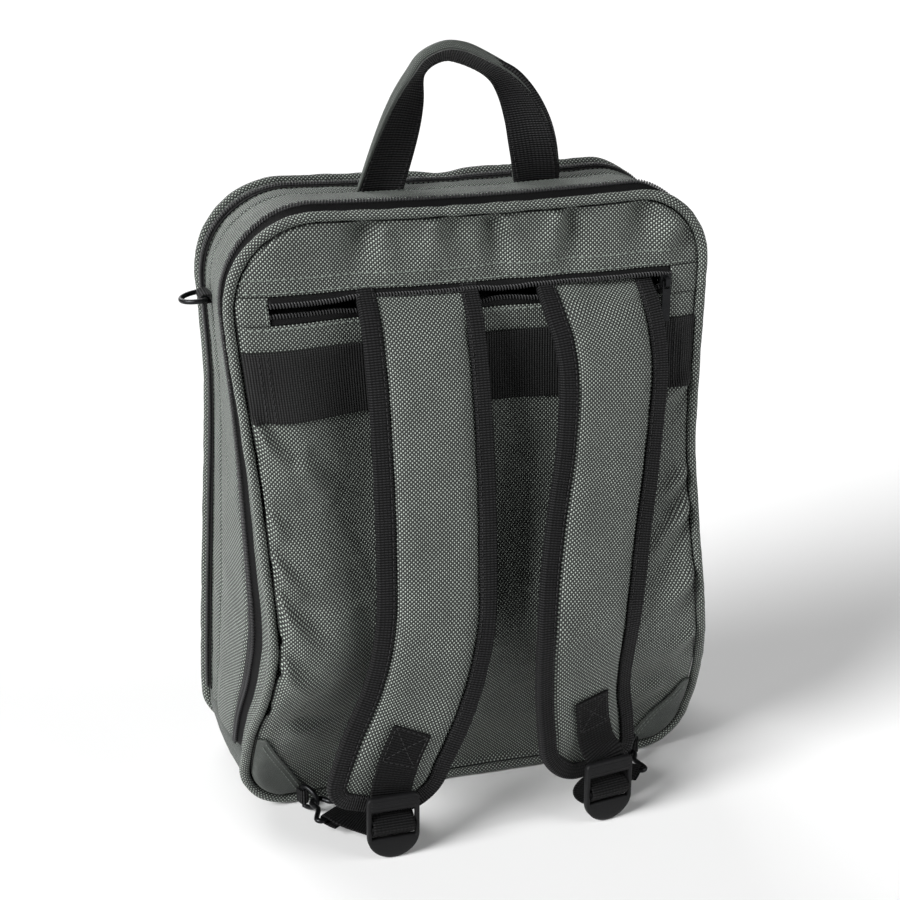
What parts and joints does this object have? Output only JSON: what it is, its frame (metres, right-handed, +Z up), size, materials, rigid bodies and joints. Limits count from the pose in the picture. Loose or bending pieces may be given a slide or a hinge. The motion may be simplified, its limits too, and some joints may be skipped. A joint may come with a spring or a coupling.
{
  "type": "convertible backpack",
  "caption": "Small zipped fabric backpack with padded shoulder straps, a luggage-handle band, a flat back pocket, side rings and a top handle, standing on its base.",
  "frame": {"origin": "middle of the base's underside, on the floor that the bag stands on", "axes": "+Z up; -Y towards the wearer, the side with the shoulder straps; X across the back, +X on the wearer's right when the straps are seen"},
  "size_m": [0.3214, 0.1823, 0.4564],
  "materials": {
    "nylon": "grey-green basket-weave nylon, dry, faint sheen",
    "fine_nylon": "grey-green nylon of a finer weave",
    "black_webbing": "black woven webbing with fine cross ribs",
    "black_tape": "black zipper tape and coil",
    "lining": "plain dark lining cloth",
    "black_plastic": "satin dark grey moulded plastic",
    "gunmetal": "satin gunmetal"
  },
  "bodies": {
    "pack": {"back_piping": "fine_nylon", "front_piping": "fine_nylon", "back_band": "nylon", "back_zipper": "black_tape", "gusset_back": "nylon", "gusset_front": "nylon", "front_zipper": "black_tape", "front_band": "nylon", "base_strip": "nylon", "panel_lower": "nylon", "panel_upper": "nylon", "patch_left": "fine_nylon", "patch_right": "fine_nylon", "front_panel": "nylon", "sleeve_band": "black_webbing", "slot_tape_upper": "black_tape", "slot_tape_lower": "black_tape", "pocket_lining": "lining", "strap_pad_left": "nylon", "strap_binding_left": "black_webbing", "buckle_left": "black_plastic", "tab_left": "black_webbing", "corner_ring_left": "gunmetal", "corner_loop_left": "black_webbing", "hook_left": "gunmetal", "adjusting_webbing_left": "black_webbing", "strap_pad_right": "nylon", "strap_binding_right": "black_webbing", "buckle_right": "black_plastic", "tab_right": "black_webbing", "corner_ring_right": "gunmetal", "corner_loop_right": "black_webbing", "hook_right": "gunmetal", "adjusting_webbing_right": "black_webbing", "wing_left": "fine_nylon", "wing_right": "fine_nylon", "handle_webbing": "black_webbing", "handle_fabric": "nylon", "side_loop_left": "black_webbing", "side_loop_right": "black_webbing", "side_ring_left": "gunmetal", "side_ring_right": "gunmetal", "pocket_slider": "gunmetal", "back_zip_slider": "gunmetal", "front_zip_slider": "gunmetal"},
    "puller": {"pocket_puller": "gunmetal"}
  },
  "joints": [
    {"name": "puller_swing", "type": "hinge", "parent": "pack", "child": "puller", "pos_m": [0.11664, -0.05776, 0.319], "axis": [-1, 0, 0], "range_deg": [0, 160]}
  ]
}
